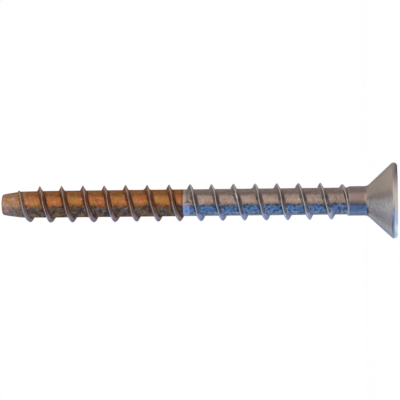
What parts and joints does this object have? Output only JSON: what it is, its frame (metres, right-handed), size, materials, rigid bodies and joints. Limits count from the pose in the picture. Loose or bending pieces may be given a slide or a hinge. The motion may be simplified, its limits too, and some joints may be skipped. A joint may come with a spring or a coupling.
{
  "type": "concrete screw",
  "caption": "Countersunk concrete screw: coarse self-cutting thread, stainless shank and head welded to a hardened bronze-coloured tip, lobed drive recess in the flat head.",
  "frame": {"origin": "centre of the head's flat face, on which the screw stands", "axes": "+Z along the screw's axis, from the head to the tip; +X is where the fading end of the thread lies under the neck"},
  "size_m": [0.0153, 0.0152, 0.08],
  "materials": {
    "stainless": "satin stainless steel, rolled thread with worn bright crests",
    "hardened_steel": "bronze-coloured coating on hardened steel, mottled, rubbed off along the thread crests"
  },
  "bodies": {
    "root": {"stainless_shank": "stainless", "hardened_tip": "hardened_steel"}
  },
  "joints": []
}
